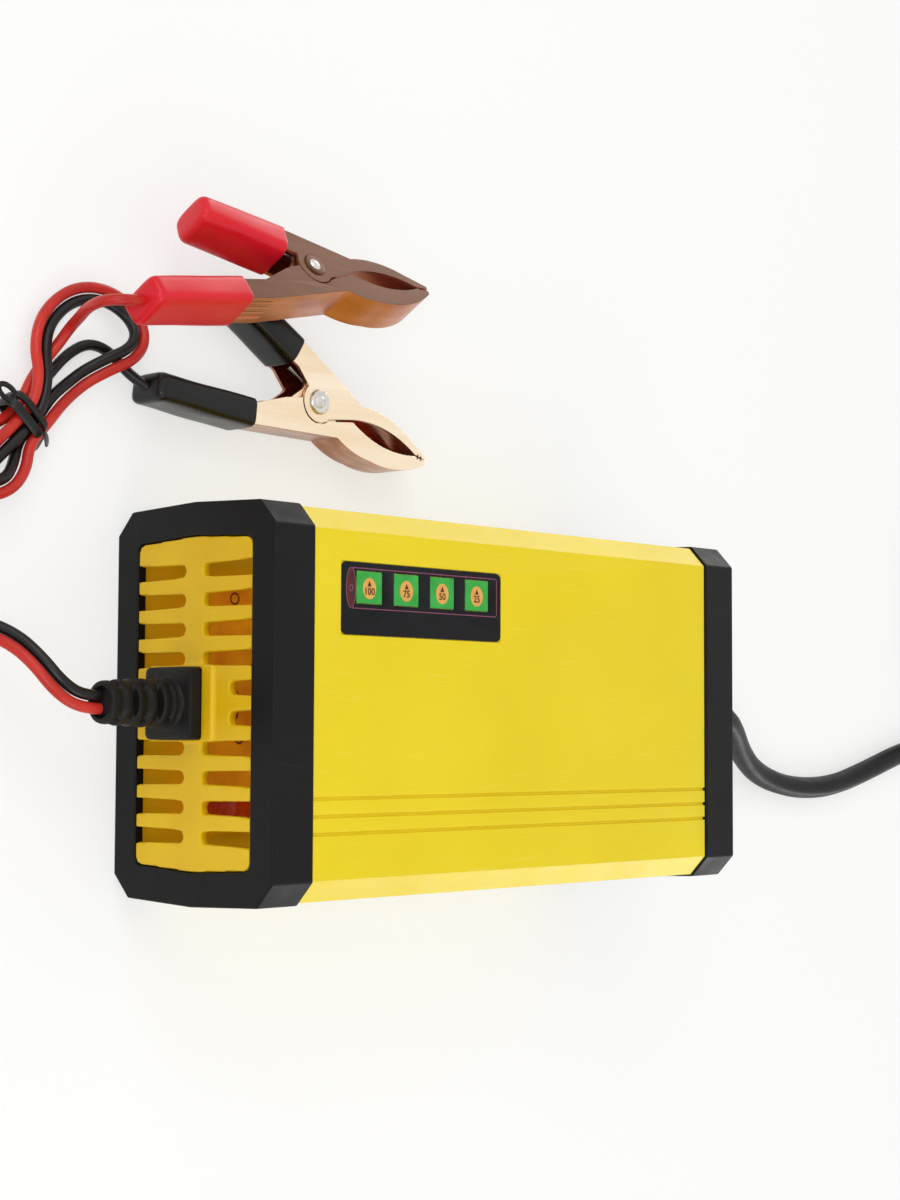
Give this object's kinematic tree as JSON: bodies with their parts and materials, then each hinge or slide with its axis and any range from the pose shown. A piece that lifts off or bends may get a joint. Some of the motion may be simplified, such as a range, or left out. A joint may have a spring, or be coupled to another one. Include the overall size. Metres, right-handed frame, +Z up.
{
  "type": "car battery charger",
  "caption": "Handheld car battery charger: yellow case with black end frames and vented ends, charge display, mains lead with plug, and a split output lead with a red and a black clip.",
  "frame": {"origin": "middle of the case's footprint, on the surface that it lies on", "axes": "+X along the case towards the mains lead, +Y across it towards the clips, +Z up through the display face"},
  "size_m": [0.4459, 0.1613, 0.042],
  "materials": {
    "bare_aluminium": "extruded",
    "black_cord": "smooth insulation",
    "black_plastic": "fine matt moulded plastic",
    "board": "bare paper-based laminate",
    "brass_pins": "nickel and brass",
    "capacitor_sleeve": "shrunk sleeve",
    "clear_glass": "clear tube",
    "comb_plastic": "deeper yellow moulded plastic",
    "copper_plate": "copper plated sheet steel",
    "copper_rivet": "copper plated",
    "dark_film": "smooth printed film",
    "ferrite": "dark sintered core",
    "green_window": "translucent printed window",
    "lamp_green": "moulded lamp",
    "red_cord": "smooth insulation",
    "red_rubber": "soft slightly glossy plastic",
    "soft_black": "soft matt plastic",
    "spring_steel": "plated",
    "winding_tape": "polyester tape",
    "yellow_plastic": "slightly glossy moulded plastic",
    "zinc_steel": "zinc plated"
  },
  "bodies": {
    "charger": {"front_shell": "yellow_plastic", "rear_shell": "yellow_plastic", "output_end_frame": "black_plastic", "mains_end_frame": "black_plastic", "output_vent_comb": "comb_plastic", "mains_vent_comb": "comb_plastic", "output_boot": "soft_black", "mains_boot": "soft_black", "display_film": "dark_film", "light_windows": "green_window", "display_board": "board", "indicator_leds": "lamp_green", "main_board": "board", "transformer_core": "ferrite", "transformer_winding": "winding_tape", "mains_capacitor": "capacitor_sleeve", "output_capacitors": "capacitor_sleeve", "heatsink": "bare_aluminium", "power_transistor": "black_plastic", "heatsink_screw": "zinc_steel", "rectifier": "black_plastic", "fuse": "clear_glass", "fuse_clips": "spring_steel", "suppression_capacitor": "comb_plastic", "film_capacitor": "red_rubber", "control_parts": "black_plastic", "case_screws": "zinc_steel", "inner_leads": "soft_black", "black_fixed_jaw": "copper_plate", "black_rivet": "spring_steel", "black_spring": "spring_steel", "black_fixed_sleeve": "soft_black", "red_fixed_jaw": "copper_plate", "red_rivet": "copper_rivet", "red_spring": "spring_steel", "red_fixed_sleeve": "red_rubber", "red_lead_coil": "red_cord", "red_lead_tail": "red_cord", "red_lead_loops": "red_cord", "black_lead_coil": "black_cord", "black_lead_tail": "black_cord", "black_lead_loops": "black_cord", "lead_tie": "soft_black", "lead_coil_tie": "soft_black", "mains_coil_tie": "soft_black", "mains_lead_coil": "black_cord", "mains_lead": "black_cord", "mains_plug_stretch": "black_cord", "plug_body": "soft_black", "plug_pins": "brass_pins"},
    "red_clip_jaw": {"red_moving_jaw": "copper_plate", "red_moving_sleeve": "red_rubber"},
    "black_clip_jaw": {"black_moving_jaw": "copper_plate", "black_moving_sleeve": "soft_black"}
  },
  "joints": [
    {"name": "red_clip_hinge", "type": "hinge", "parent": "charger", "child": "red_clip_jaw", "pos_m": [-0.0341, 0.0803, 0.0148], "axis": [0, 0.4848, 0.8746], "range_deg": [0, 16], "stiffness_Nm_per_rad": 0.08, "springref_deg": -20.05},
    {"name": "black_clip_hinge", "type": "hinge", "parent": "charger", "child": "black_clip_jaw", "pos_m": [-0.0235, 0.0586, 0.00471], "axis": [0, 0, 1], "range_deg": [0, 28], "stiffness_Nm_per_rad": 0.08, "springref_deg": -20.05}
  ]
}
